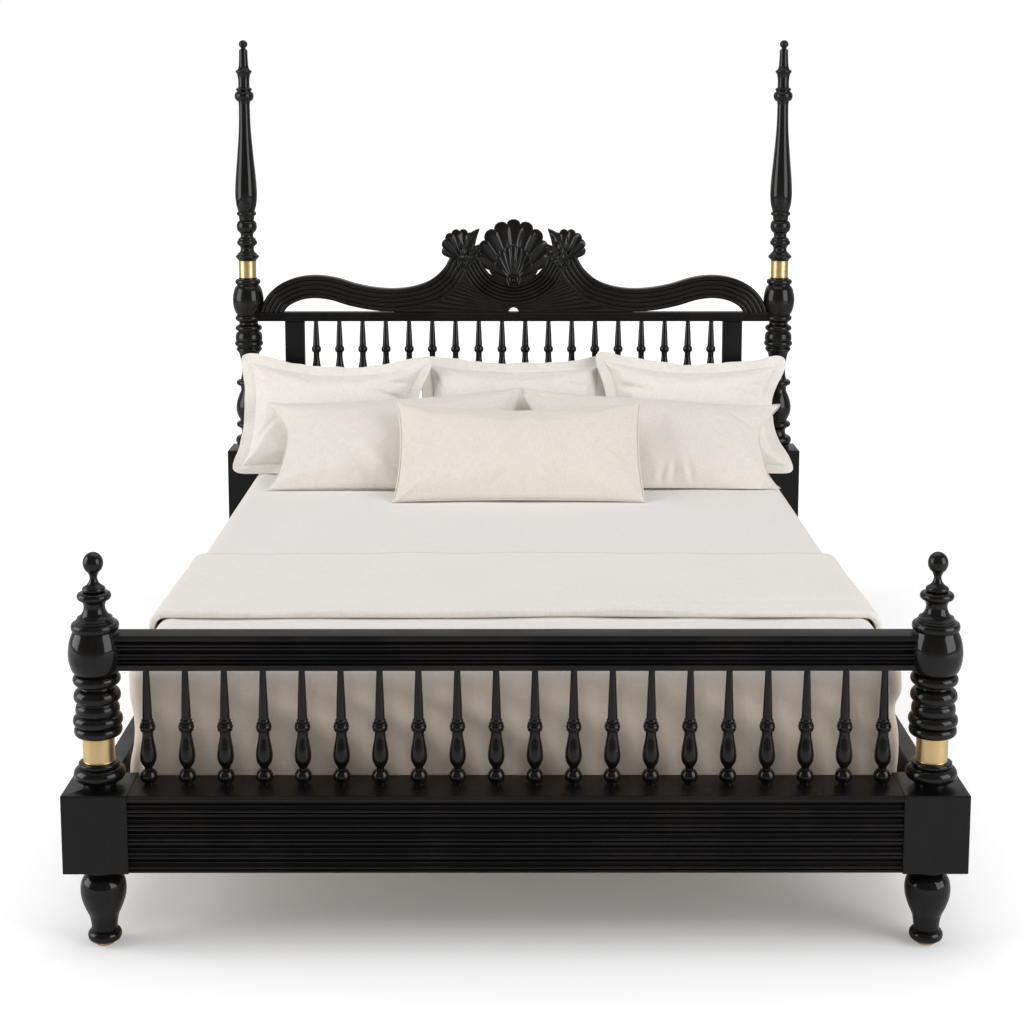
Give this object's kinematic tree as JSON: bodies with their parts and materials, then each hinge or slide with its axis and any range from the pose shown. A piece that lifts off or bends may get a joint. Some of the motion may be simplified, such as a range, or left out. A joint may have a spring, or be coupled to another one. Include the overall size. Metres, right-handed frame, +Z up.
{
  "type": "poster bed",
  "caption": "Poster bed with tall turned head posts, short turned foot posts, spindled ends, a shell-carved crest, a slatted base, and its mattress and bedding.",
  "frame": {"origin": "on the floor, at the middle of the bed's footprint", "axes": "+Z up, +Y from the foot towards the head, +X to the right as seen from the foot"},
  "size_m": [1.78, 2.32, 1.853],
  "materials": {
    "dark_wood": "near-black lacquer, glossy, worn to brown on its edges",
    "aged_brass": "polished and lightly aged",
    "bare_pine": "planed, unfinished",
    "ticking": "woven cover, matt",
    "cream_cotton": "plain weave, matt",
    "ivory_throw": "soft knit, matt",
    "pillow_linen": "plain weave, matt"
  },
  "bodies": {
    "root": {"foot_post_left": "dark_wood", "foot_collar_left": "aged_brass", "foot_finial_left": "dark_wood", "foot_glide_left": "aged_brass", "foot_post_right": "dark_wood", "foot_collar_right": "aged_brass", "foot_finial_right": "dark_wood", "foot_glide_right": "aged_brass", "head_post_left": "dark_wood", "head_collar_left": "aged_brass", "head_spire_left": "dark_wood", "head_glide_left": "aged_brass", "head_post_right": "dark_wood", "head_collar_right": "aged_brass", "head_spire_right": "dark_wood", "head_glide_right": "aged_brass", "foot_rail_lower": "dark_wood", "foot_rail_top": "dark_wood", "foot_spindle_01": "dark_wood", "foot_spindle_02": "dark_wood", "foot_spindle_03": "dark_wood", "foot_spindle_04": "dark_wood", "foot_spindle_05": "dark_wood", "foot_spindle_06": "dark_wood", "foot_spindle_07": "dark_wood", "foot_spindle_08": "dark_wood", "foot_spindle_09": "dark_wood", "foot_spindle_10": "dark_wood", "foot_spindle_11": "dark_wood", "foot_spindle_12": "dark_wood", "foot_spindle_13": "dark_wood", "foot_spindle_14": "dark_wood", "foot_spindle_15": "dark_wood", "foot_spindle_16": "dark_wood", "foot_spindle_17": "dark_wood", "foot_spindle_18": "dark_wood", "foot_spindle_19": "dark_wood", "foot_spindle_20": "dark_wood", "head_rail_upper": "dark_wood", "head_rail_lower": "dark_wood", "head_stretcher": "dark_wood", "head_stile_left": "dark_wood", "head_stile_right": "dark_wood", "head_crest": "dark_wood", "side_rail_left": "dark_wood", "side_rail_right": "dark_wood", "ledger_left": "bare_pine", "ledger_right": "bare_pine", "centre_beam": "bare_pine", "centre_leg": "bare_pine", "slat_base": "bare_pine", "mattress": "ticking", "bedspread": "cream_cotton", "blanket": "ivory_throw", "sham_left": "pillow_linen", "sham_centre": "pillow_linen", "sham_right": "pillow_linen", "pillow_left": "pillow_linen", "pillow_right": "pillow_linen", "pillow_lumbar": "pillow_linen"}
  },
  "joints": []
}
